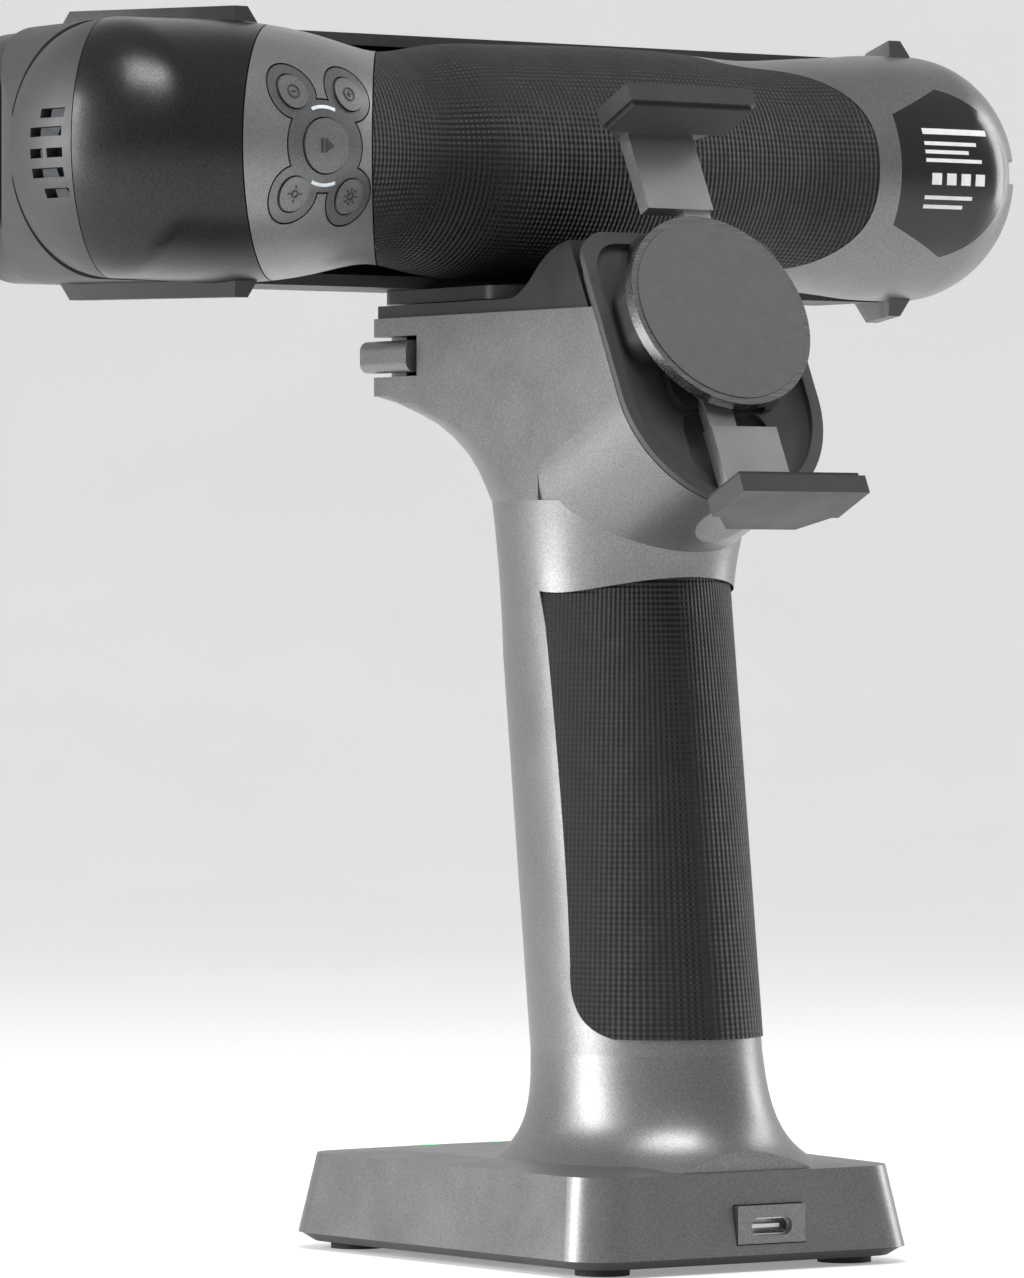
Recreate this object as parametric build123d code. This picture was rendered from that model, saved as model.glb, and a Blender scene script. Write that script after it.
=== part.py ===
from build123d import *
import os
from math import cos, radians, sin

# Handheld 3-D scanner standing on a charging handle with a phone clamp.
# Frame: millimetres, +X along the scanner, +Y the way it looks, +Z up.
# The origin is the middle of the foot, on the desk.

# ---------------------------------------------------------------- sizes
WALL = 2.5

BASE_X, BASE_Y = 74.0, 98.6
BASE_LOW, BASE_HIGH = 3.0, 17.7
BASE_R = 8.0
BASE_DRAFT = 2.5
FOOT_X, FOOT_Y, FOOT_R = 27.0, 39.0, 5.0

GRIP_A, GRIP_B = 19.4, 24.0          # half-sizes of the handle's oval
GRIP_LEAN = 0.121                    # forward shift of its axis per unit height
GRIP_REF_Y, GRIP_REF_Z = -6.0, 112.4
STEM_LOW = 14.0
NECK_Y, NECK_LOW, NECK_TOP = -12.0, 110.0, 138.0

HEAD_HALF = 22.0
HEAD_TOP = 172.4
HEAD_FRONT = 43.0
COVER_TOP = 174.8

TILT = 25.5                          # phone holder leans back from upright
HOLDER_Y, HOLDER_Z = -34.5, 161.0
PLATE_TOP_U = 25.4                   # top of the holder's back plate
DISC_U = 8.4                         # disc centre, up the holder
DISC_R = 18.25
ARM_W, ARM_T = 14.5, 2.0
JAW_HALF = 14.0
UPPER_IN, LOWER_IN = 46.0, -29.0     # gripping faces, up the holder
JAW_T = 3.4
JAW_FRONT = 16.8

SCAN_Y, SCAN_Z = 24.4, 201.2         # centre line of the scanner
SCAN_END = 88.0                      # where the rounded ends start
SCAN_CAP = 20.0
SCAN_Q, SCAN_R = 26.0, 23.5          # half depth and half height
SPLIT_Y = 31.0                       # rear shells meet the front housing
FRONT_Y = 50.4
VISOR_Y = 63.6
VISOR_HALF = 26.4
SHELL = 2.2
SEAM = 0.15                          # half a seam's width
FIT = 0.3                            # clearance between moving neighbours

PLATE_LOW, PLATE_HIGH = 175.2, 177.7

FAN_X, FAN_Y, FAN_Z = 60.0, 24.4, 201.2
FAN_HALF = 12.5

# How the waist of the scanner narrows: (X, share of the full section).
WAIST = [(-88, 1.0), (-60, 1.0), (-48, 0.93), (-33, 0.83), (-22, 0.9), (-10, 0.93),
         (34, 0.93), (48, 0.9), (60, 0.93), (72, 0.97), (88, 1.0)]


# ---------------------------------------------------------------- helpers
def box(x0, x1, y0, y1, z0, z1):
    """A block given by its limits."""
    block = Box(x1 - x0, y1 - y0, z1 - z0)
    return Pos((x0 + x1) / 2, (y0 + y1) / 2, (z0 + z1) / 2) * block


def rod(radius, length, start, axis="Z"):
    """A cylinder that starts at a point and runs along +X, +Y or +Z."""
    turn = {"X": Rot(0, 90, 0), "Y": Rot(-90, 0, 0), "Z": Rot(0, 0, 0)}[axis]
    cylinder = Cylinder(radius, length, align=(Align.CENTER, Align.CENTER, Align.MIN))
    return Pos(*start) * turn * cylinder


def rounded(width, depth, radius, z, shift_y=0.0):
    """A rounded rectangle lying at height z."""
    return Pos(0, shift_y, z) * RectangleRounded(width, depth, radius)


def oval(a, b, z, grow=0.0):
    """A level section of the handle, centred on its leaning axis."""
    y = GRIP_REF_Y - GRIP_LEAN * (GRIP_REF_Z - z)
    return Pos(0, y, z) * Ellipse(a + grow, b + grow)


def slanted(face_z0, face_z1, draft_shape):
    """A loft between the faces that draft_shape gives at two heights."""
    return loft([draft_shape(face_z0), draft_shape(face_z1)])


def holder(u=0.0, h=0.0, x=0.0):
    """The phone holder's plane: local X right, Y up the holder, Z out to the rear."""
    t = radians(TILT)
    normal = (0, -cos(t), sin(t))
    origin = (x, HOLDER_Y + u * sin(t) - h * cos(t), HOLDER_Z + u * cos(t) + h * sin(t))
    return Plane(origin=origin, x_dir=(1, 0, 0), z_dir=normal)


def holder_right():
    """The sign that turns local Y up the holder when local X runs right."""
    return 1 if holder().y_dir.Z > 0 else -1


def on_holder(width, u0, u1, h0, h1, radius=0.0):
    """A plate on the phone holder, from u0 to u1 and from h0 to h1."""
    outline = Rectangle(width, u1 - u0)
    if radius:
        outline = RectangleRounded(width, u1 - u0, radius)
    return extrude(holder((u0 + u1) / 2, h0) * outline, h1 - h0)


def disc_on_holder(radius, u, h0, h1, x=0.0):
    """A round plate on the phone holder."""
    return extrude(holder(u, h0, x) * Circle(radius), h1 - h0)


def side_profile(edges, half):
    """A closed outline in Y and Z, drawn out to both sides of X = 0."""
    return extrude(make_face(edges), half, both=True)


def at_side(*points):
    return [Vector(0, y, z) for y, z in points]


def screws(places, radius, length, axis="Z"):
    """Screws with a head, a shank and a driver recess, all alike."""
    out = []
    for place in places:
        x, y, z = place
        head = rod(radius * 1.8, radius * 0.9, (x, y, z), axis)
        step = {"X": (radius * 0.9, 0, 0), "Y": (0, radius * 0.9, 0), "Z": (0, 0, radius * 0.9)}[axis]
        shank = rod(radius, length, (x + step[0], y + step[1], z + step[2]), axis)
        recess = rod(radius * 0.7, radius * 0.5, (x, y, z), axis)
        out.append(head + shank - recess)
    return out


def save(name, *solids):
    """Write one node, a single solid or a group of alike solids."""
    parts = []
    for solid in solids:
        parts.extend(solid.solids())
    shape = parts[0] if len(parts) == 1 else Compound(children=parts)
    shape.label = name
    export_step(shape, "parts/" + name + ".step")


# ---------------------------------------------------------------- base and handle
def base_body(inset=0.0):
    low = rounded(BASE_X - 2 * inset, BASE_Y - 2 * inset, BASE_R - inset / 2, BASE_LOW)
    high = rounded(BASE_X - 2 * BASE_DRAFT - 2 * inset, BASE_Y - 2 * BASE_DRAFT - 2 * inset,
                   BASE_R - inset / 2, BASE_HIGH - inset)
    return loft([low, high])


def base_dome():
    """The top of the base rises gently to the foot of the handle."""
    rim_x, rim_y = BASE_X - 2 * BASE_DRAFT, BASE_Y - 2 * BASE_DRAFT
    rim = rounded(rim_x, rim_y, BASE_R, BASE_HIGH)
    crown = rounded(rim_x - 14, rim_y - 20, 14, BASE_HIGH + 1.2, -3)
    return loft([rim, crown])


def handle(grow=0.0, high=150.0):
    """The leaning oval stem, drawn out a little by grow."""
    return loft([oval(GRIP_A, GRIP_B, STEM_LOW, grow), oval(GRIP_A, GRIP_B, high, grow)])


def flare():
    """The stem spreads into the base, and stops inside the base's rim."""
    spread = [(STEM_LOW, 11.0), (19.0, 7.5), (22.0, 4.2), (27.0, 1.6), (34.0, 0.3), (46.0, 0.0)]
    foot = loft([oval(GRIP_A, GRIP_B, z, more) for z, more in spread])
    rim = rounded(BASE_X - 2 * BASE_DRAFT - 2, BASE_Y - 2 * BASE_DRAFT - 2, BASE_R, BASE_LOW + WALL)
    return foot & extrude(rim, 50)


def head_outline():
    """The back of the head seen from the side: it leans back over a hollow nape."""
    top_front = (0.0, HEAD_TOP)
    low_front = (0.0, 118.0)
    nape = (-29.5, 126.0)
    back_low = (-46.0, 136.5)
    back_high = (-29.0, HEAD_TOP)
    hollow = Spline(at_side(nape, (-35.0, 131.0), back_low))
    return [Line(at_side(top_front, low_front)), Line(at_side(low_front, nape)), hollow,
            Line(at_side(back_low, back_high)), Line(at_side(back_high, top_front))]


def throat_section(z, crease, front):
    """A level cut of the head: flat sides back to NECK_Y, a half oval in front."""
    sides = Pos(0, (NECK_Y + crease) / 2, z) * Rectangle(2 * HEAD_HALF, crease - NECK_Y)
    reach = front - crease
    ahead = Pos(0, crease + reach, z) * Rectangle(2 * HEAD_HALF + 2, 2 * reach)
    nose = (Pos(0, crease, z) * Ellipse(HEAD_HALF, reach)) & ahead
    return (sides + nose).face()


def head_body():
    """The head: seen square to the phone holder, its lower end is a half circle."""
    block = side_profile(head_outline(), HEAD_HALF)
    window = disc_on_holder(HEAD_HALF, -5.5, -90, 10) + on_holder(2 * HEAD_HALF, -5.5, 60, -90, 10)
    rear = block & window & box(-30, 30, -70, NECK_Y, 100, 200)
    # the flat sides end in a crease that sweeps up to the front edge
    creases = [(NECK_TOP, -7.4, 19.4), (141.0, -3.6, 20.6), (144.0, -0.4, 22.3), (147.0, 3.6, 25.0),
               (150.0, 9.0, 28.8), (152.5, 15.0, 33.0), (154.5, 22.5, 37.0), (156.5, 31.5, 40.5),
               (158.0, 40.0, HEAD_FRONT)]
    throat = loft([throat_section(*crease) for crease in creases], ruled=True)
    front = box(-HEAD_HALF, HEAD_HALF, NECK_Y, HEAD_FRONT, 158.0, HEAD_TOP)
    corners = front.edges().filter_by(Axis.Z).group_by(Axis.Y)[-1]
    return throat + fillet(corners, 3.0) + rear


def neck():
    """Joins the oval handle to the straight-sided head."""
    low = oval(GRIP_A, GRIP_B, NECK_LOW)
    middle = Pos(0, -6.0, 126.0) * Ellipse(20.6, 23.8)
    high = Pos(0, -7.4, NECK_TOP) * Ellipse(HEAD_HALF, 26.8)
    return loft([low, middle, high])


def main_shell():
    # the recess for the grip inlay is cut before the head goes on
    stem = handle(high=NECK_LOW) + neck() - grip_band()
    foot = base_body() + base_dome() + flare() - grip_band()
    body = foot + stem + (head_body() - grip_band())
    body -= base_body(WALL)
    # battery bay up the handle
    body -= handle(grow=-4.2, high=124.0)
    # electronics bay in the head, closed above by the top cover
    body -= box(-18.5, 18.5, -22, 38, 158.5, HEAD_TOP + 1)
    # port window at the rear of the base
    port = Pos(PORT_X, -BASE_Y / 2, PORT_Z) * Box(15.4, 12, 7.2)
    body -= port
    # light windows at the front of the base top
    for x in LIGHT_X:
        body -= box(x - 2.0, x + 2.0, LIGHT_Y - 0.75, LIGHT_Y + 0.75, 10, 25)
    # slot for the release latch
    body -= box(-HEAD_HALF - 1, -16.6, 26.8, HEAD_FRONT + 1, LATCH_LOW - 0.8, LATCH_HIGH + 0.8)
    # seat of the mount plate
    body -= plate_outline(0.3, -3.2, 3)
    return body


PORT_X, PORT_Z = 3.0, 8.4
LIGHT_X = (-7.25, 7.25)
LIGHT_Y = 43.3
LATCH_LOW, LATCH_HIGH = 162.3, 168.2


def grip_window():
    """Seen from the side, where the grip covers the rear of the handle."""
    front = [(-8.6, 127), (-11, 113), (-14, 93), (-16.8, 71), (-18.3, 54)]
    low_turn = [(-18.3, 54), (-20.5, 45.5), (-28, 41)]
    top_turn = [(-14, 137.0), (-9.3, 135), (-8.6, 127)]
    edges = [Spline(at_side(*front)), Spline(at_side(*low_turn)), Spline(at_side(*top_turn)),
             Line(at_side((-28, 41), (-60, 41))), Line(at_side((-60, 41), (-60, 128.5))),
             Line(at_side((-60, 128.5), (-31, 128.5))), Line(at_side((-31, 128.5), (-14, 137.0)))]
    return side_profile(edges, 40)


def grip_band():
    """The space let into the handle's rear half for the grip."""
    return (handle(grow=0.9, high=140.0) - handle(grow=-1.8, high=140.0)) & grip_window()


def grip_inlay():
    return (handle(grow=0.35, high=140.0) - handle(grow=-1.8, high=140.0)) & grip_window()


def base_cover():
    cover = loft([rounded(BASE_X - 5, BASE_Y - 5, 7, 1.4), rounded(BASE_X - 0.6, BASE_Y - 0.6, BASE_R, 3.0)])
    for x, y in FOOT_PLACES:
        cover -= rod(FOOT_R, 1.2, (x, y, 1.2))
    for x, y, z in BASE_SCREWS:
        cover -= rod(1.3, 4, (x, y, 1.0))
        cover -= rod(2.5, 1.3, (x, y, 1.2))
    return cover


FOOT_PLACES = [(x, y) for x in (-FOOT_X, FOOT_X) for y in (-FOOT_Y, FOOT_Y)]
BASE_SCREWS = [(x, y, 1.45) for x in (-29, 29) for y in (-22, 22)]


def screw_posts():
    posts = None
    for x, y, z in BASE_SCREWS:
        post = rod(3.2, 12.6, (x, y, 3.0)) - rod(1.2, 9, (x, y, 2.5))
        posts = post if posts is None else posts + post
    return posts


def base_internals():
    ballast = box(-24, 24, 12, 44, 3.2, 9.0)
    board = box(-22, 22, -44, -20, 4.6, 6.0)
    shell = Pos(PORT_X, -43.2, PORT_Z - 0.4) * Rot(90, 0, 0) * extrude(RectangleRounded(8.9, 3.2, 1.5), 4.9)
    cavity = Pos(PORT_X, -43.9, PORT_Z - 0.4) * Rot(90, 0, 0) * extrude(RectangleRounded(8.3, 2.6, 1.25), 6)
    tongue = box(PORT_X - 3.2, PORT_X + 3.2, -47.2, -43.5, PORT_Z - 0.75, PORT_Z - 0.05)
    surround = Pos(PORT_X, -48.0, PORT_Z) * Box(15.0, 2.4, 6.8)
    surround -= Pos(PORT_X, -48.0, PORT_Z - 0.4) * Rot(90, 0, 0) * extrude(RectangleRounded(8.9, 3.2, 1.5), 9, both=True)
    pipes = [box(x - 1.8, x + 1.8, LIGHT_Y - 0.6, LIGHT_Y + 0.6, 9.4, 18.2) for x in LIGHT_X]
    return ballast, board, shell - cavity + tongue, surround, pipes


# ---------------------------------------------------------------- head
def top_cover():
    """Flat lid on the head that climbs behind into the holder's back."""
    rise = Spline(at_side((-1.4, COVER_TOP), (-6.5, 177.2), (-12, 181.8), (-19.0, 184.6), (-23.2, 185.0)))
    edges = [Line(at_side((41.6, COVER_TOP), (-1.4, COVER_TOP))), rise,
             Line(at_side((-23.2, 185.0), (-40, 185.0))), Line(at_side((-40, 185.0), (-40, HEAD_TOP))),
             Line(at_side((-40, HEAD_TOP), (41.6, HEAD_TOP))),
             Line(at_side((41.6, HEAD_TOP), (41.6, COVER_TOP)))]
    cover = side_profile(edges, 20.6)
    return cover - on_holder(60, -60, 60, -3.0, 40) - rod(3.3, 40, (0, 34, 160))


def plate_outline(grow, h0, h1):
    """The mount plate: round below, square-shouldered above."""
    r = 20.0 + grow
    plate = disc_on_holder(r, -5.5, h0, h1)
    return plate + on_holder(2 * r, -5.5, PLATE_TOP_U + grow, h0, h1, 6) + on_holder(2 * r, -5.5, 12, h0, h1)


def mount_plate():
    plate = plate_outline(0.0, -2.8, 0.0)
    plate += plate_outline(1.9, 0.0, 1.2) - plate_outline(-0.4, -0.2, 2)
    plate -= on_holder(19, -21, -8, -1.4, 3, 4)
    return plate


def release_latch():
    bar = box(-23.6, -18.3, 28.0, HEAD_FRONT + 0.2, LATCH_LOW, LATCH_HIGH)
    return fillet(bar.edges().filter_by(Axis.Y), 1.8)


def spring(radius, wire, pitch, height):
    """A round-wire helical spring standing on the origin."""
    path = Helix(pitch, height, radius)
    start = path @ 0
    return sweep(Plane(origin=start, z_dir=path % 0) * Circle(wire / 2), path)


# ---------------------------------------------------------------- phone clamp
def clamp_body():
    body = on_holder(37.0, 0.0, 17.0, 1.3, 5.6, 5)
    body += on_holder(24.0, -9, 26, 1.3, 3.0, 4)
    # one channel takes both arms, side by side in depth
    body -= on_holder(ARM_W + 0.6, -40, 60, 1.9, 4.9)
    body += on_holder(5.0, -9, 26, 1.2, 1.6)
    return body


def disc_rim():
    rim = disc_on_holder(19.0, DISC_U, 5.8, 8.0)
    rim -= disc_on_holder(DISC_R - 0.5, DISC_U, 6.4, 9)
    return rim


def disc_pad():
    return disc_on_holder(DISC_R - 0.55, DISC_U, 6.4, 8.2)


def arm(way):
    """One sliding arm. way is +1 for the upper one and -1 for the lower."""
    half = ARM_W / 2 - 0.4
    x0, x1 = (0.9, half) if way > 0 else (-half, -0.9)
    inner = 8.0 - way * 5.0
    outer = UPPER_IN if way > 0 else LOWER_IN
    u0, u1 = sorted((inner, outer))
    strip = extrude(holder((u0 + u1) / 2, 2.2, (x0 + x1) / 2) * Rectangle(x1 - x0, u1 - u0), ARM_T)
    # outside the clamp the arm widens to its full width
    edge = 30.5 if way > 0 else -13.5
    v0, v1 = sorted((edge, outer))
    return strip + on_holder(ARM_W, v0, v1, 2.2, 2.2 + 2.8)


def jaw(way):
    inner = UPPER_IN if way > 0 else LOWER_IN
    u0, u1 = sorted((inner, inner + way * JAW_T))
    bar = on_holder(2 * JAW_HALF, u0, u1, 1.6, JAW_FRONT)
    # the ends taper toward the plate
    for side in (-1, 1):
        wedge = holder((u0 + u1) / 2, 1.6, side * JAW_HALF)
        bar -= extrude(wedge * Rot(0, side * 45, 0) * Rectangle(9, 12), 6, both=True) & \
            on_holder(60, u0 - 1, u1 + 1, 0.5, 6.5)
    return bar


def jaw_pad(way):
    inner = UPPER_IN if way > 0 else LOWER_IN
    u0, u1 = sorted((inner, inner - way * 0.9))
    return on_holder(2 * JAW_HALF - 1.5, u0, u1, 6.6, JAW_FRONT - 0.8)


# ---------------------------------------------------------------- scanner shells
def scan_hull(inset=0.0):
    """The whole rear body: a waisted tube with domed ends, deeper than it is high."""
    r = SCAN_R - inset
    end = SCAN_END + SCAN_CAP - inset
    outline = Spline([Vector(x, share * SCAN_R - inset, 0) for x, share in WAIST],
                     tangents=[(1, 0, 0), (1, 0, 0)])
    left = EllipticalCenterArc((-SCAN_END, 0), SCAN_CAP - inset, r, start_angle=90, arc_size=90)
    right = EllipticalCenterArc((SCAN_END, 0), SCAN_CAP - inset, r, start_angle=0, arc_size=90)
    profile = make_face([left, outline, right, Line((-end, 0), (end, 0))])
    body = revolve(profile, Axis.X)
    return Pos(0, SCAN_Y, SCAN_Z) * scale(body, by=(1.0, SCAN_Q / SCAN_R, 1.0))


def front_hull(inset=0.0):
    """The front housing: flat above and below, rounded at the ends and in plan."""
    r = SCAN_R - 0.1 - inset
    end = SCAN_END + SCAN_CAP - 0.6 - inset
    left = EllipticalCenterArc((-SCAN_END, 0), end - SCAN_END, r, start_angle=90, arc_size=180)
    right = EllipticalCenterArc((SCAN_END, 0), end - SCAN_END, r, start_angle=-90, arc_size=180)
    outline = make_face([left, Line((-SCAN_END, -r), (SCAN_END, -r)), right,
                         Line((SCAN_END, r), (-SCAN_END, r))])
    upright = Plane(origin=(0, SPLIT_Y + SEAM, SCAN_Z), x_dir=(1, 0, 0), z_dir=(0, -1, 0))
    block = extrude(upright * outline, -(FRONT_Y - SPLIT_Y - SEAM - inset))
    plan = Pos(0, SCAN_Y) * Rectangle(2 * SCAN_END, 2 * (FRONT_Y - SCAN_Y - inset))
    for side in (-1, 1):
        plan += Pos(side * SCAN_END, SCAN_Y) * Ellipse(end - SCAN_END, FRONT_Y - SCAN_Y - inset)
    return block & (Pos(0, 0, SCAN_Z - 40) * extrude(plan, 80))


def cut_plane(p, q):
    """Everything on the left of an upright plane through two plan points."""
    run = Vector(q[0] - p[0], q[1] - p[1], 0).normalized()
    plane = Plane(origin=(p[0], p[1], SCAN_Z), x_dir=(run.X, run.Y, 0), z_dir=(run.Y, -run.X, 0))
    return extrude(plane * Rectangle(500, 200), -400)


CAP_SEAM = ((-105.8, 12.6), (-91.5, 24.4))
BARREL_SEAM = ((-78.8, -1.6), (-55.1, 24.4))
PANEL_SEAM = ((-48.2, 2.4), (-32.5, 24.4))
SLEEVE_X = 64.8


def shifted(seam, gap):
    return ((seam[0][0] + gap, seam[0][1]), (seam[1][0] + gap, seam[1][1]))


def right_of_sleeve(gap):
    """Everything right of the sleeve's bowed edge, with silver tongues above and below."""
    bow = [(30.0, 26.0), (45.0, 19.2), (56.8, 17.2), (62.9, 12.0), (SLEEVE_X, 0.0)]
    low = [(x, -dz) for x, dz in reversed(bow[:-1])]
    edge = Spline([Vector(x + gap, dz, 0) for x, dz in bow + low])
    far = Polyline((30.0 + gap, -26.0), (200, -60), (200, 60), (30.0 + gap, 26.0))
    plane = Plane(origin=(0, -40, SCAN_Z), x_dir=(1, 0, 0), z_dir=(0, -1, 0))
    return extrude(plane * make_face([edge, far]), -(SPLIT_Y + 60))


def rear_shells():
    """The five shells behind the split: cap, barrel, panel, sleeve, right end."""
    skin = scan_hull() - scan_hull(SHELL)
    skin &= box(-200, 200, -40, SPLIT_Y - SEAM, 100, 300)
    cap = skin & cut_plane(*shifted(CAP_SEAM, -SEAM))
    barrel = (skin - cut_plane(*shifted(CAP_SEAM, SEAM))) & cut_plane(*shifted(BARREL_SEAM, -SEAM))
    panel = (skin - cut_plane(*shifted(BARREL_SEAM, SEAM))) & cut_plane(*shifted(PANEL_SEAM, -SEAM))
    sleeve = skin - cut_plane(*shifted(PANEL_SEAM, SEAM)) - right_of_sleeve(0)
    right = skin & right_of_sleeve(2 * SEAM)
    return cap, barrel, panel, sleeve, right


# key centres in X and height above the scanner's axis
BIG_KEY = (-61.0, 0.0)
SMALL_KEYS = {"zoom_out_button": (-67.0, 9.6), "zoom_in_button": (-54.4, 9.6),
              "light_down_button": (-67.0, -8.8), "light_up_button": (-54.4, -8.8)}
BIG_R, SMALL_R = 5.2, 3.3
KEY_REACH = 14.0


def key_shape(place, radius, inset=0.0, depth=None):
    """A key's prism, run through the panel from the rear."""
    x, dz = place
    return rod(radius - inset, depth or KEY_REACH, (x, -6.0, SCAN_Z + dz), "Y")


def key_cap(place, radius):
    """A key: the piece of a slightly raised hull inside its hole, with a flange."""
    proud = scan_hull(-0.4) - scan_hull(SHELL + 0.6)
    cap = proud & key_shape(place, radius, 0.25, 22)
    return biggest(cap)


def biggest(shape):
    return max(shape.solids(), key=lambda solid: solid.volume)


def bezel_outline(inset):
    """A cross of four round lobes round the keys, drawn in X and height."""
    x0 = BIG_KEY[0]
    lobes = Pos(x0, 0) * Circle(8.6 - inset)
    for place in SMALL_KEYS.values():
        lobes += Pos(place[0], place[1]) * Circle(5.3 - inset)
    return lobes


def bezel_prism(inset=0.0):
    plane = Plane(origin=(0, -8, SCAN_Z), x_dir=(1, 0, 0), z_dir=(0, -1, 0))
    return extrude(plane * bezel_outline(inset), -28)


def right_end_details(right):
    """The label recess and the port window at the right end."""
    plane = Plane(origin=(0, -10, SCAN_Z), x_dir=(1, 0, 0), z_dir=(0, -1, 0))
    corners = Polyline((70.0, -10.2), (70.0, 10.7), (84.6, 17.0), (100, 17.0), (100, -17.0), (83.7, -16.0),
                       close=True)
    shield = make_face(corners) & (Pos(79.5, 0) * Circle(16.3))
    prism = extrude(plane * shield, -26)
    label = biggest((scan_hull() - scan_hull(0.8)) & prism)
    seat = (scan_hull(-1) - scan_hull(0.8)) & prism
    port_at = Pos(101.0, 8.0, SCAN_Z + 0.8) * Rot(0, 0, 45)
    window = port_at * Box(14.0, 16, 4.6)
    socket = port_at * Pos(0, 2.2, 0) * (Box(13.6, 5.0, 4.2) - Pos(0, -1.0, 0) * Box(9.0, 4.0, 2.6))
    return right - seat - window, label, socket & scan_hull(0.6)


def end_vents(cap):
    """Six short slots through the left end: depth along Y, then height."""
    slots = [(14.6, 20.5, 5.2), (14.8, 23.0, 1.9), (14.6, 18.4, -1.9), (19.4, 23.0, -1.9),
             (14.8, 23.0, -5.4), (14.6, 20.5, -9.0)]
    for near, far, dz in slots:
        height = SCAN_Z + dz
        cap -= box(-115, -95, near, far, height - 0.85, height + 0.85)
    return cap


def visor(side):
    """A black frame round one camera window."""
    x0 = side * 79.0
    outline = Pos(x0, 0) * RectangleRounded(37.0, 46.0, 12)
    bore = Pos(x0, 0) * Circle(14.5)
    plane = Plane(origin=(0, FRONT_Y + 0.1, SCAN_Z), x_dir=(1, 0, 0), z_dir=(0, -1, 0))
    return extrude(plane * (outline - bore), -(VISOR_Y - FRONT_Y))


def rib(side, way):
    """A tapered rib that runs forward and outward over a shell, above or below."""
    start_x = RIB_X[side]
    run = side * 17.0

    def cut(half, ahead, height):
        outline = Polyline((start_x - half, 18.4 + ahead), (start_x + half, 18.4 + ahead),
                           (start_x + run + half, 54.0 - ahead), (start_x + run - half, 54.0 - ahead),
                           close=True)
        return Pos(0, 0, SCAN_Z + way * height) * make_face(outline)

    return loft([cut(3.4, 0.0, SCAN_R - 3.0), cut(1.4, 3.2, VISOR_HALF)])


RIB_X = {-1: -64.0, 1: 85.4}


# ---------------------------------------------------------------- scanner insides
def camera(x, radius, reach):
    """A lens barrel with a glass front element, pointing forward."""
    barrel = rod(radius, reach, (x, FRONT_Y - 14, SCAN_Z), "Y")
    barrel -= rod(radius - 1.6, 3.0, (x, FRONT_Y - 14 + reach - 3.0, SCAN_Z), "Y")
    return barrel


def ring_of_lights(x):
    ring = rod(13.6, 1.6, (x, FRONT_Y - 4.2, SCAN_Z), "Y")
    ring -= rod(9.4, 4, (x, FRONT_Y - 5.2, SCAN_Z), "Y")
    for i in range(12):
        angle = radians(30 * i)
        ring += rod(1.1, 1.0, (x + 11.5 * cos(angle), FRONT_Y - 2.8, SCAN_Z + 11.5 * sin(angle)), "Y")
    return ring


def fan_frame():
    frame = box(FAN_X, FAN_X + 8, FAN_Y - FAN_HALF, FAN_Y + FAN_HALF, FAN_Z - FAN_HALF, FAN_Z + FAN_HALF)
    frame -= rod(11.6, 20, (FAN_X - 5, FAN_Y, FAN_Z), "X")
    frame += box(FAN_X, FAN_X + 1.2, FAN_Y - FAN_HALF, FAN_Y + FAN_HALF, FAN_Z - 1, FAN_Z + 1)
    return frame + rod(4.0, 1.2, (FAN_X, FAN_Y, FAN_Z), "X")


def fan_rotor():
    rotor = rod(4.2, 5.6, (FAN_X + 1.6, FAN_Y, FAN_Z), "X")
    blade = Pos(FAN_X + 4.4, FAN_Y, FAN_Z) * Rot(0, 0, 32) * Pos(0, 0, 7.2) * Box(0.8, 5.2, 7.6)
    for i in range(7):
        turn = Pos(FAN_X, FAN_Y, FAN_Z) * Rot(360 / 7 * i, 0, 0) * Pos(-FAN_X, -FAN_Y, -FAN_Z)
        rotor += turn * blade
    return rotor & rod(11.2, 5.8, (FAN_X + 1.5, FAN_Y, FAN_Z), "X")


# ---------------------------------------------------------------- build
os.makedirs("parts", exist_ok=True)

ballast, board, port_shell, port_surround, pipes = base_internals()
shell = main_shell()
posts = screw_posts()
save("main_shell", shell + posts)
save("base_cover", base_cover())
save("rubber_feet", *[rod(FOOT_R - 0.1, 2.35, (x, y, 0)) for x, y in FOOT_PLACES])
save("base_screws", *screws(BASE_SCREWS, 1.15, 7.0))
save("ballast_plate", ballast)
save("charging_board", board)
save("usb_c_socket", port_shell)
save("port_surround", port_surround - port_shell)
save("battery_light_pipes", *pipes)
save("grip_inlay", grip_inlay())

cell_tilt = Rot(-6.9, 0, 0)
cell_at = Pos(0, GRIP_REF_Y - GRIP_LEAN * (GRIP_REF_Z - 31), 31) * cell_tilt
cells = [cell_at * Pos(0, y, 0) * Cylinder(9.0, 65, align=(Align.CENTER, Align.CENTER, Align.MIN))
         for y in (-9.2, 9.2)]
save("battery_cells", *cells)
holder_cap = cell_at * Pos(0, 0, 66.0) * Box(12, 34, 2.0)
holder_foot = cell_at * Pos(0, 0, -2.0) * Box(12, 34, 2.0)
save("battery_contacts", holder_cap, holder_foot)

save("head_top_cover", top_cover())
save("mount_plate", mount_plate())
save("release_latch", release_latch())
latch_coil = Pos(-17.9, 36, 165.2) * Rot(0, 90, 0) * spring(1.6, 0.5, 1.2, 5.4)
save("latch_spring", latch_coil)
save("control_board", box(-10, 16, -18, 30, 160.2, 161.6))

save("clamp_body", clamp_body())
save("disc_rim", disc_rim())
save("disc_pad", disc_pad())
save("upper_arm", arm(1))
save("lower_arm", arm(-1))
save("upper_jaw", jaw(1))
save("lower_jaw", jaw(-1))
save("upper_jaw_pad", jaw_pad(1))
save("lower_jaw_pad", jaw_pad(-1))

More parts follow.
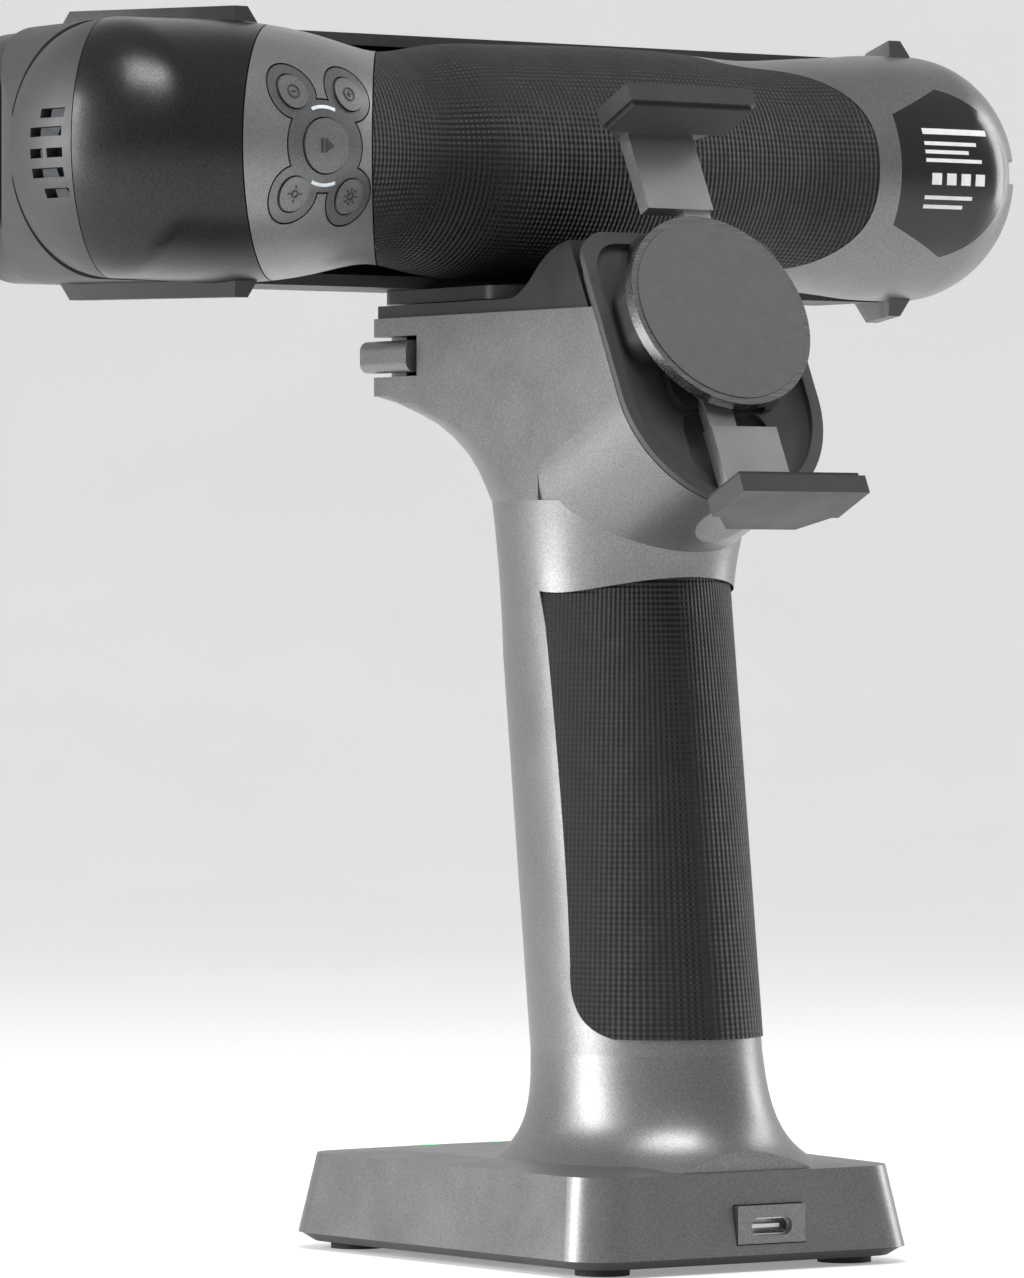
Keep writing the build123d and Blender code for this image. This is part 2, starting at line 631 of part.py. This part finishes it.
plate = Pos(0, 26.0, 0) * extrude(Pos(0, 0, PLATE_LOW) * RectangleRounded(36, 40, 5), PLATE_HIGH - PLATE_LOW)
plate -= rod(3.2, 20, (0, 34, 170))
save("quick_release_plate", plate)
save("tripod_screw", rod(3.1, 1.9, (0, 34, 175.3)) + rod(2.4, 5.5, (0, 34, 177.0)))

cap, barrel, panel, sleeve, right = rear_shells()
save("left_end_cap", biggest(end_vents(cap)))
save("barrel_cover", biggest(barrel))
bezel_hole = bezel_prism()
holes = key_shape(BIG_KEY, BIG_R, 0, 22)
for place in SMALL_KEYS.values():
    holes += key_shape(place, SMALL_R, 0, 22)
save("button_panel", biggest(panel - bezel_hole))
save("button_bezel", biggest((panel & bezel_prism(2 * SEAM)) - holes))
save("scan_button", key_cap(BIG_KEY, BIG_R))
for name, place in SMALL_KEYS.items():
    save(name, key_cap(place, SMALL_R))
save("grip_sleeve", biggest(sleeve))
right, label, socket = right_end_details(right)
save("right_shell", biggest(right))
save("label_plate", label)
save("data_socket", biggest(socket))

front = front_hull() - front_hull(SHELL)
front -= box(-60, 60, FRONT_Y - 4, FRONT_Y + 2, SCAN_Z - 15, SCAN_Z + 15)
for x in (-79, 79):
    front -= rod(14.5, 10, (x, FRONT_Y - 5, SCAN_Z), "Y")
front -= rod(2.6, 20, (0, 34, 170))
save("front_housing", biggest(front))
ribs = []
save("projector_window", box(-59.7, 59.7, FRONT_Y - 2.0, FRONT_Y - 0.4, SCAN_Z - 14.7, SCAN_Z + 14.7))
bodywork = scan_hull(-0.05) + front_hull(-0.05)
for side, name in ((-1, "left"), (1, "right")):
    save(name + "_visor", visor(side))
    for way in (-1, 1):
        ribs.append(biggest(rib(side, way) - bodywork - visor(side)))
save("bumper_ribs", *ribs)
for side, name in ((-1, "left"), (1, "right")):
    save(name + "_camera", camera(side * 79, 8.6, 16))
    save(name + "_camera_glass", rod(14.3, 1.2, (side * 79, FRONT_Y + 3.2, SCAN_Z), "Y"))
save("light_rings", ring_of_lights(-79), ring_of_lights(79))
save("projector", box(-12, 12, 34, 47, SCAN_Z - 9, SCAN_Z + 9) + rod(7, 1.2, (0, 46.8, SCAN_Z), "Y"))
save("colour_camera", box(18, 32, 36, 44, SCAN_Z - 7, SCAN_Z + 7) + rod(4.5, 3.6, (25, 43.8, SCAN_Z), "Y"))
save("chassis_plate", box(-84, 56, 30.2, 33.0, SCAN_Z - 12, SCAN_Z + 12))
save("main_board", box(-38, 50, 20.0, 21.6, SCAN_Z - 13, SCAN_Z + 13))
save("button_board", box(-72, -50, 9.0, 10.4, SCAN_Z - 11, SCAN_Z + 11))
save("cooling_fan_frame", fan_frame())
save("cooling_fan_rotor", fan_rotor())
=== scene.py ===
import math

import bmesh
import bpy
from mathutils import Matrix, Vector
from mathutils.bvhtree import BVHTree


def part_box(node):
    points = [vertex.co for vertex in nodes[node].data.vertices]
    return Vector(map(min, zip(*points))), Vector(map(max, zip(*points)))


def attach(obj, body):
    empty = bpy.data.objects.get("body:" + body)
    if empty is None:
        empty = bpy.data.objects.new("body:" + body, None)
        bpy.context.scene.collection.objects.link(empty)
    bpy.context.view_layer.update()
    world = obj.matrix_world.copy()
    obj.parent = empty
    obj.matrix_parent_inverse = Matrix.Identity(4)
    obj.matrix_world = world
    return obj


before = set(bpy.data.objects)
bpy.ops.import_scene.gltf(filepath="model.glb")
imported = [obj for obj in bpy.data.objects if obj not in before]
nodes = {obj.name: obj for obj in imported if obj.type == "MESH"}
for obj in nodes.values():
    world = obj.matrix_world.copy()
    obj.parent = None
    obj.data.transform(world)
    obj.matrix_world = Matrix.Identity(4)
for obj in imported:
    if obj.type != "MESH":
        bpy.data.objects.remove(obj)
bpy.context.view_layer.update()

MM = 0.001

# ---------------------------------------------------------------- camera
VIEW_TURN = math.radians(-35)      # it looks forward and to the right, level
VIEW_DISTANCE = 1.468
VIEW_HEIGHT = 0.1138
VIEW_ASIDE = 0.01578               # the object stands right of the picture's middle
FOCAL_WIDTHS = 6.26                # focal length over the picture's long side
HORIZON_RISE = 0.0039
SENSOR_WIDTH = 36.0                # in millimetres
FAR_CLIP = 50                      # in metres


def add_camera():
    data = bpy.data.cameras.new("camera")
    data.sensor_width = SENSOR_WIDTH
    data.lens = FOCAL_WIDTHS * data.sensor_width
    data.shift_y = -HORIZON_RISE
    data.clip_end = FAR_CLIP
    camera = bpy.data.objects.new("camera", data)
    forward = Vector((-math.sin(VIEW_TURN), math.cos(VIEW_TURN), 0))
    right = Vector((math.cos(VIEW_TURN), math.sin(VIEW_TURN), 0))
    eye_level = Vector((0, 0, VIEW_HEIGHT))
    camera.location = -forward * VIEW_DISTANCE - right * VIEW_ASIDE + eye_level
    camera.rotation_euler = (math.radians(90), 0, VIEW_TURN)
    bpy.context.scene.collection.objects.link(camera)
    bpy.context.scene.camera = camera


# ---------------------------------------------------------------- materials
class Shader:
    """A material with one Principled shader, and short calls to add nodes to it."""

    def __init__(self, name):
        self.material = bpy.data.materials.new(name)
        self.material.use_nodes = True
        self.tree = self.material.node_tree
        self.surface = self.tree.nodes["Principled BSDF"]

    def put(self, socket, value):
        if isinstance(value, bpy.types.NodeSocket):
            self.tree.links.new(value, socket)
        else:
            socket.default_value = value

    def set(self, **values):
        for key, value in values.items():
            self.put(self.surface.inputs[key.replace("_", " ")], value)

    def position(self):
        """The point in the object's own frame, in metres, as X, Y and Z."""
        where = self.tree.nodes.new("ShaderNodeTexCoord").outputs["Object"]
        split = self.tree.nodes.new("ShaderNodeSeparateXYZ")
        self.put(split.inputs[0], where)
        return where, split.outputs

    def math(self, operation, a, b=0.0):
        node = self.tree.nodes.new("ShaderNodeMath")
        node.operation = operation
        self.put(node.inputs[0], a)
        self.put(node.inputs[1], b)
        return node.outputs[0]

    def noise(self, scale, detail=3.0, roughness=0.6):
        node = self.tree.nodes.new("ShaderNodeTexNoise")
        self.put(node.inputs["Vector"], self.position()[0])
        node.inputs["Scale"].default_value = scale
        node.inputs["Detail"].default_value = detail
        node.inputs["Roughness"].default_value = roughness
        return node.outputs["Fac"]

    def ramp(self, value, low, high, start=0.3, end=0.7):
        """Two colours spread over part of a value's range."""
        node = self.tree.nodes.new("ShaderNodeValToRGB")
        node.color_ramp.elements[0].position = start
        node.color_ramp.elements[1].position = end
        node.color_ramp.elements[0].color = (*low, 1)
        node.color_ramp.elements[1].color = (*high, 1)
        self.put(node.inputs[0], value)
        return node.outputs[0]

    def spread(self, value, low, high):
        """A number that runs from low to high over the middle of a value's range."""
        node = self.tree.nodes.new("ShaderNodeMapRange")
        self.put(node.inputs["Value"], value)
        node.inputs["From Min"].default_value = 0.3
        node.inputs["From Max"].default_value = 0.7
        node.inputs["To Min"].default_value = low
        node.inputs["To Max"].default_value = high
        return node.outputs[0]

    def bump(self, height, depth, strength=1.0):
        """Relief of a depth in metres."""
        node = self.tree.nodes.new("ShaderNodeBump")
        node.inputs["Strength"].default_value = strength
        node.inputs["Distance"].default_value = depth
        self.put(node.inputs["Height"], height)
        self.put(self.surface.inputs["Normal"], node.outputs[0])


def shades(grey, change, tint=(1.0, 1.0, 1.0)):
    """A slightly darker and a slightly lighter version of one colour."""
    low = tuple(grey * (1 - change) * t for t in tint)
    high = tuple(grey * (1 + change) * t for t in tint)
    return low, high


def metallic_paint(name, grey, flake, rough=0.36, metallic=0.75):
    """Satin paint with fine metal flakes and slow tone variation."""
    shader = Shader(name)
    low, high = shades(grey, flake, (1.0, 1.005, 1.01))
    flakes = shader.noise(3200, 2.0, 0.8)
    shader.set(Base_Color=shader.ramp(flakes, low, high, 0.35, 0.65))
    shader.set(Metallic=metallic,
               Roughness=shader.spread(shader.noise(70), rough - 0.03, rough + 0.05))
    shader.bump(shader.noise(2600, 2.0), 0.02 * MM, 0.35)
    return shader.material


def moulded_plastic(name, grey, rough, grain=1500, depth=0.03 * MM):
    """Fine spark-eroded plastic."""
    shader = Shader(name)
    low, high = shades(grey, 0.08)
    shader.set(Base_Color=shader.ramp(shader.noise(420), low, high))
    shader.set(Roughness=shader.spread(shader.noise(120), rough - 0.05, rough + 0.06))
    shader.bump(shader.noise(grain, 2.0), depth, 0.5)
    return shader.material


def brushed_metal(name, grey, rough=0.3):
    """Metal with fine lines along X."""
    shader = Shader(name)
    where = shader.position()[0]
    lines = shader.tree.nodes.new("ShaderNodeTexNoise")
    stretch = shader.tree.nodes.new("ShaderNodeMapping")
    stretch.inputs["Scale"].default_value = (60, 3000, 3000)
    shader.put(stretch.inputs["Vector"], where)
    shader.put(lines.inputs["Vector"], stretch.outputs[0])
    lines.inputs["Scale"].default_value = 1.0
    scratches = lines.outputs["Fac"]
    low, high = shades(grey, 0.1)
    shader.set(Base_Color=shader.ramp(scratches, low, high))
    shader.set(Metallic=1.0,
               Roughness=shader.spread(scratches, rough - 0.06, rough + 0.08))
    shader.bump(scratches, 0.01 * MM, 0.5)
    return shader.material


def diamond_rubber(name, around, pitch, radius, axis_y, axis_z=0.0):
    """Black rubber with a woven diamond pattern that runs round an axis ("X" or "Z"), with
    painted shade in the pattern's grooves.
    """
    shader = Shader(name)
    where, (x, y, z) = shader.position()
    off_y = shader.math("SUBTRACT", y, axis_y)
    if around == "X":
        angle = shader.math("ARCTAN2", shader.math("SUBTRACT", z, axis_z), off_y)
        along = x
    else:
        angle = shader.math("ARCTAN2", x, off_y)
        along = z
    across = shader.math("MULTIPLY", angle, radius)
    wave = 2 * math.pi / pitch
    rising = shader.math("ADD", across, along)
    falling = shader.math("SUBTRACT", across, along)
    one = shader.math("SINE", shader.math("MULTIPLY", rising, wave))
    two = shader.math("SINE", shader.math("MULTIPLY", falling, wave))
    weave = shader.math("MULTIPLY", one, two)
    # broad chevrons cross the weave
    chevron_width = pitch * 12
    share = shader.math("FRACT", shader.math("MULTIPLY", across, 1 / chevron_width))
    fold = shader.math("ABSOLUTE", shader.math("SUBTRACT", share, 0.5))
    folded = shader.math("ADD", along, shader.math("MULTIPLY", fold, chevron_width))
    chevron = shader.math("SINE", shader.math("MULTIPLY", folded, wave / 6))
    height = shader.math("ADD", shader.math("MULTIPLY", weave, 0.5),
                         shader.math("MULTIPLY", chevron, 0.15))
    # colour follows the relief: darker in the weave's grooves and lighter on its ridges, painted
    # shade in the grooves
    low, high = shades(0.005, 0.6)
    shader.set(Base_Color=shader.ramp(height, low, high, 0.0, 0.6))
    shader.set(Roughness=shader.spread(shader.noise(300), 0.5, 0.6), Specular_IOR_Level=0.35)
    shader.bump(height, 0.3 * MM)
    return shader.material


def board_green():
    shader = Shader("solder_mask")
    low, high = shades(0.08, 0.3, (0.25, 1.0, 0.5))
    shader.set(Base_Color=shader.ramp(shader.noise(260), low, high))
    shader.set(Roughness=shader.spread(shader.noise(500), 0.3, 0.42))
    shader.bump(shader.noise(900), 0.05 * MM, 0.4)
    return shader.material


def coated_glass():
    shader = Shader("coated_glass")
    low, high = shades(0.02, 0.4, (0.8, 0.7, 1.2))
    shader.set(Base_Color=shader.ramp(shader.noise(30), low, high))
    shader.set(Roughness=shader.spread(shader.noise(60), 0.04, 0.08), IOR=1.6, Coat_Weight=0.6)
    return shader.material


def lit(name, colour, strength):
    shader = Shader(name)
    low = tuple(c * 0.75 for c in colour)
    shader.set(Base_Color=shader.ramp(shader.noise(700), low, colour))
    shader.set(Emission_Color=shader.ramp(shader.noise(700), low, colour),
               Emission_Strength=strength)
    shader.set(Roughness=shader.spread(shader.noise(300), 0.3, 0.4))
    return shader.material


WEAVE_PITCH = 2.0 * MM
GRIP_RADIUS = 21 * MM              # about the same for the scanner's sleeve and the handle


def make_materials():
    sleeve_low, sleeve_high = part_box("grip_sleeve")
    inlay_low, inlay_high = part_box("grip_inlay")
    sleeve_z = (sleeve_low.z + sleeve_high.z) / 2
    sleeve_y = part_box("chassis_plate")[0].y - 6 * MM
    inlay_y = (inlay_low.y + inlay_high.y) / 2 + 12 * MM
    return {
        "silver": metallic_paint("silver_paint", 0.19, 0.22),
        "pale_silver": metallic_paint("pale_silver_paint", 0.24, 0.2),
        "dark_metallic": metallic_paint("dark_metallic_paint", 0.035, 0.3, 0.3, 0.85),
        "cap_black": moulded_plastic("cap_black", 0.03, 0.5),
        "black": moulded_plastic("black_plastic", 0.012, 0.38),
        "gloss_black": moulded_plastic("gloss_black", 0.012, 0.2),
        "mid_grey": moulded_plastic("mid_grey_plastic", 0.085, 0.55),
        # mount plate: its own grey is lighter; this darker tone is painted shade from the disc
        # and holder above it
        "plate_grey_with_painted_shade": moulded_plastic("plate_grey_with_painted_shade", 0.045, 0.42),
        "key_grey": metallic_paint("key_grey", 0.2, 0.2),
        "bezel_grey": metallic_paint("bezel_grey", 0.17, 0.2, 0.3),
        "jaw_grey": moulded_plastic("jaw_grey", 0.03, 0.42),
        "rubber": moulded_plastic("foot_rubber", 0.02, 0.75, grain=900, depth=0.08 * MM),
        "white_print": moulded_plastic("white_print", 0.75, 0.5),
        "dark_print": moulded_plastic("dark_print", 0.03, 0.5),
        "steel": brushed_metal("brushed_steel", 0.55),
        "rim": brushed_metal("disc_rim_metal", 0.3, 0.25),
        "arm": metallic_paint("arm_metal", 0.42, 0.06, 0.34, 0.9),
        "sleeve": diamond_rubber("sleeve_rubber", "X", WEAVE_PITCH, GRIP_RADIUS,
                                 sleeve_y, sleeve_z),
        "inlay": diamond_rubber("grip_rubber", "Z", WEAVE_PITCH, GRIP_RADIUS, inlay_y),
        "board": board_green(),
        "glass": coated_glass(),
        "green_light": lit("green_light", (0.05, 0.9, 0.15), 3.0),
        "ring_light": lit("ring_light", (0.7, 0.75, 0.8), 0.2),
    }


LOOKS = {
    "silver": ["main_shell", "right_shell", "port_surround", "release_latch"],
    "pale_silver": ["button_panel"],
    "dark_metallic": ["barrel_cover"],
    "cap_black": ["left_end_cap", "front_housing"],
    "black": ["quick_release_plate", "bumper_ribs", "head_top_cover", "base_cover",
              "clamp_body", "left_visor", "right_visor", "data_socket", "battery_contacts",
              "cooling_fan_frame", "cooling_fan_rotor", "projector", "colour_camera",
              "left_camera", "right_camera"],
    "gloss_black": ["label_plate"],
    # mount plate colour is partly its own grey and partly painted shade
    "mid_grey": ["disc_pad"],
    "plate_grey_with_painted_shade": ["mount_plate"],
    "key_grey": ["scan_button", "zoom_out_button", "zoom_in_button", "light_down_button",
                 "light_up_button"],
    "bezel_grey": ["button_bezel"],
    "jaw_grey": ["upper_jaw", "lower_jaw"],
    "rubber": ["rubber_feet", "upper_jaw_pad", "lower_jaw_pad"],
    "steel": ["base_screws", "ballast_plate", "tripod_screw", "usb_c_socket", "latch_spring",
              "battery_cells", "chassis_plate"],
    "rim": ["disc_rim"],
    "arm": ["upper_arm", "lower_arm"],
    "sleeve": ["grip_sleeve"],
    "inlay": ["grip_inlay"],
    "board": ["charging_board", "control_board", "main_board", "button_board"],
    "ring_light": ["light_rings"],
    "glass": ["projector_window", "left_camera_glass", "right_camera_glass"],
    "green_light": ["battery_light_pipes"],
}


def dress_nodes(materials):
    for look, names in LOOKS.items():
        for name in names:
            for material_slot in nodes[name].material_slots:
                material_slot.material = materials[look]


# ---------------------------------------------------------------- printed marks
PRINT_LIFT = 0.05 * MM
PRINT_THICKNESS = 0.08 * MM
BEHIND = -0.2                      # a plane behind the whole object, where the rays start


def skin_of(names):
    """Ray-casting trees of the surfaces that marks are printed on."""
    graph = bpy.context.evaluated_depsgraph_get()
    return [BVHTree.FromObject(nodes[name], graph) for name in names]


def printed(name, shapes, on, body, material):
    """Flat shapes in X and Z, laid onto the rear surface of CAD nodes as thin print."""
    mesh = bpy.data.meshes.new(name)
    work = bmesh.new()
    for shape in shapes:
        corners = [work.verts.new((x, BEHIND, z)) for x, z in shape]
        work.faces.new(corners)
    bmesh.ops.triangulate(work, faces=work.faces[:])
    bmesh.ops.subdivide_edges(work, edges=work.edges[:], cuts=3, use_grid_fill=True)
    trees = skin_of(on)
    for vert in work.verts:
        hits = [tree.ray_cast(vert.co, Vector((0, 1, 0))) for tree in trees]
        hits = [hit for hit in hits if hit[0] is not None]
        if hits:
            nearest = min(hits, key=lambda hit: hit[3])
            vert.co = nearest[0] + nearest[1] * PRINT_LIFT
    lost = [vert for vert in work.verts if vert.co.y < BEHIND + 10 * MM]
    bmesh.ops.delete(work, geom=lost, context="VERTS")
    work.to_mesh(mesh)
    work.free()
    piece = bpy.data.objects.new(name, mesh)
    piece.data.materials.append(material)
    bpy.context.scene.collection.objects.link(piece)
    thick = piece.modifiers.new("thickness", "SOLIDIFY")
    thick.thickness = PRINT_THICKNESS
    thick.offset = 1
    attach(piece, body)


def bar(x, z, width, height):
    return [(x - width / 2, z - height / 2), (x + width / 2, z - height / 2),
            (x + width / 2, z + height / 2), (x - width / 2, z + height / 2)]


def ring(x, z, radius, width, steps, start=0, turn=360):
    """Quads along an arc."""
    quads = []
    inner, outer = radius - width / 2, radius + width / 2
    for i in range(steps):
        a = math.radians(start + turn * i / steps)
        b = math.radians(start + turn * (i + 1) / steps)
        quads.append([(x + inner * math.cos(a), z + inner * math.sin(a)),
                      (x + outer * math.cos(a), z + outer * math.sin(a)),
                      (x + outer * math.cos(b), z + outer * math.sin(b)),
                      (x + inner * math.cos(b), z + inner * math.sin(b))])
    return quads


def centre(name):
    low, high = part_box(name)
    return (low.x + high.x) / 2, (low.z + high.z) / 2


FINE_LINE = 0.25 * MM


def key_marks(materials):
    ink = materials["dark_print"]
    x, z = centre("scan_button")
    play = [bar(x - 1.1 * MM, z, 0.5 * MM, 2.6 * MM),
            [(x - 0.4 * MM, z - 1.3 * MM), (x + 1.5 * MM, z), (x - 0.4 * MM, z + 1.3 * MM)]]
    printed("scan_mark", play, ["scan_button"], "scan_button", ink)
    for name, plus in (("zoom_out_button", False), ("zoom_in_button", True)):
        x, z = centre(name)
        shapes = ring(x, z, 1.15 * MM, FINE_LINE, steps=20)
        shapes.append(bar(x, z, 1.0 * MM, FINE_LINE))
        if plus:
            shapes.append(bar(x, z + 0.33 * MM, FINE_LINE, 0.4 * MM))
            shapes.append(bar(x, z - 0.33 * MM, FINE_LINE, 0.4 * MM))
        printed(name + "_mark", shapes, [name], name, ink)
    for name, rays in (("light_down_button", 4), ("light_up_button", 8)):
        x, z = centre(name)
        shapes = ring(x, z, 0.6 * MM, FINE_LINE, steps=16)
        for i in range(rays):
            shapes += ring(x, z, 1.25 * MM, 0.5 * MM, steps=1, start=360 * i / rays - 5, turn=10)
        printed(name + "_mark", shapes, [name], name, ink)
    x, z = centre("scan_button")
    arcs = []
    for start in (68, 248):
        arcs += ring(x, z, 7.0 * MM, 0.6 * MM, steps=10, start=start, turn=44)
    printed("key_light_slits", arcs, ["button_bezel", "button_panel"], "scanner",
            materials["ring_light"])


def label_marks(materials):
    """Plain bars and boxes, with no words, where the real label has its print."""
    x, z = centre("label_plate")
    # each row's offset to the side, its height over the centre, its length and thickness
    above = [(0, 7.5, 15, 1.1), (-1.5, 5.2, 12, 0.7), (-2.5, 3.6, 10, 0.7), (-1.0, 2.0, 13, 0.7)]
    boxes = [(i * 3.4 - 5.1, -1.5, 2.2, 2.2) for i in range(4)]
    below = [(-2, -5.0, 11, 0.7), (-3, -6.7, 9, 0.7)]
    marks = [bar(x + aside * MM, z + rise * MM, width * MM, height * MM)
             for aside, rise, width, height in above + boxes + below]
    printed("label_marks", marks, ["label_plate"], "scanner", materials["white_print"])


# ---------------------------------------------------------------- surroundings
def area_light(name, place, aim, size, power):
    data = bpy.data.lights.new(name, "AREA")
    data.shape = "RECTANGLE"
    data.size, data.size_y = size
    data.energy = power
    lamp = bpy.data.objects.new(name, data)
    lamp.location = place
    lamp.rotation_euler = (Vector(aim) - Vector(place)).to_track_quat("-Z", "Y").to_euler()
    bpy.context.scene.collection.objects.link(lamp)


def sweep_floor():
    """A floor that curves up into a wall behind the object."""
    near, reach, bend, wall, half_width = -3.0, 1.6, 1.2, 3.0, 4.0
    bend_steps = 16
    profile = [(near, 0.0), (reach, 0.0)]
    for step in range(1, bend_steps + 1):
        angle = math.radians(90 * step / bend_steps)
        profile.append((reach + bend * math.sin(angle), bend * (1 - math.cos(angle))))
    profile.append((reach + bend, wall))
    work = bmesh.new()
    rows = [[work.verts.new((x, y, z)) for y, z in profile] for x in (-half_width, half_width)]
    for i in range(len(profile) - 1):
        face = work.faces.new((rows[0][i], rows[1][i], rows[1][i + 1], rows[0][i + 1]))
        face.smooth = True
    mesh = bpy.data.meshes.new("floor")
    work.to_mesh(mesh)
    work.free()
    return mesh


def studio():
    shader = Shader("pale_floor")
    low, high = shades(0.80, 0.015)
    shader.set(Base_Color=shader.ramp(shader.noise(6), low, high))
    shader.set(Roughness=shader.spread(shader.noise(40), 0.5, 0.6))
    shader.set(Emission_Color=shader.ramp(shader.noise(6), low, high), Emission_Strength=0.35)
    floor = bpy.data.objects.new("floor", sweep_floor())
    floor.rotation_euler = (0, 0, VIEW_TURN)
    floor.data.materials.append(shader.material)
    bpy.context.scene.collection.objects.link(floor)
    world = bpy.data.worlds.new("studio")
    world.use_nodes = True
    background = world.node_tree.nodes["Background"]
    background.inputs["Color"].default_value = (0.93, 0.94, 0.96, 1)
    background.inputs["Strength"].default_value = 0.4
    bpy.context.scene.world = world
    target = (0, 0, 0.13)
    area_light("top_light", (-0.25, -0.35, 1.1), target, (0.6, 0.4), 9)
    area_light("left_strip", (-0.9, 0.35, 0.25), target, (0.25, 0.9), 14)
    area_light("right_strip", (0.9, -0.1, 0.35), target, (0.25, 0.9), 5)
    bpy.context.scene.view_settings.view_transform = "Standard"


add_camera()
materials = make_materials()
dress_nodes(materials)
key_marks(materials)
label_marks(materials)
studio()
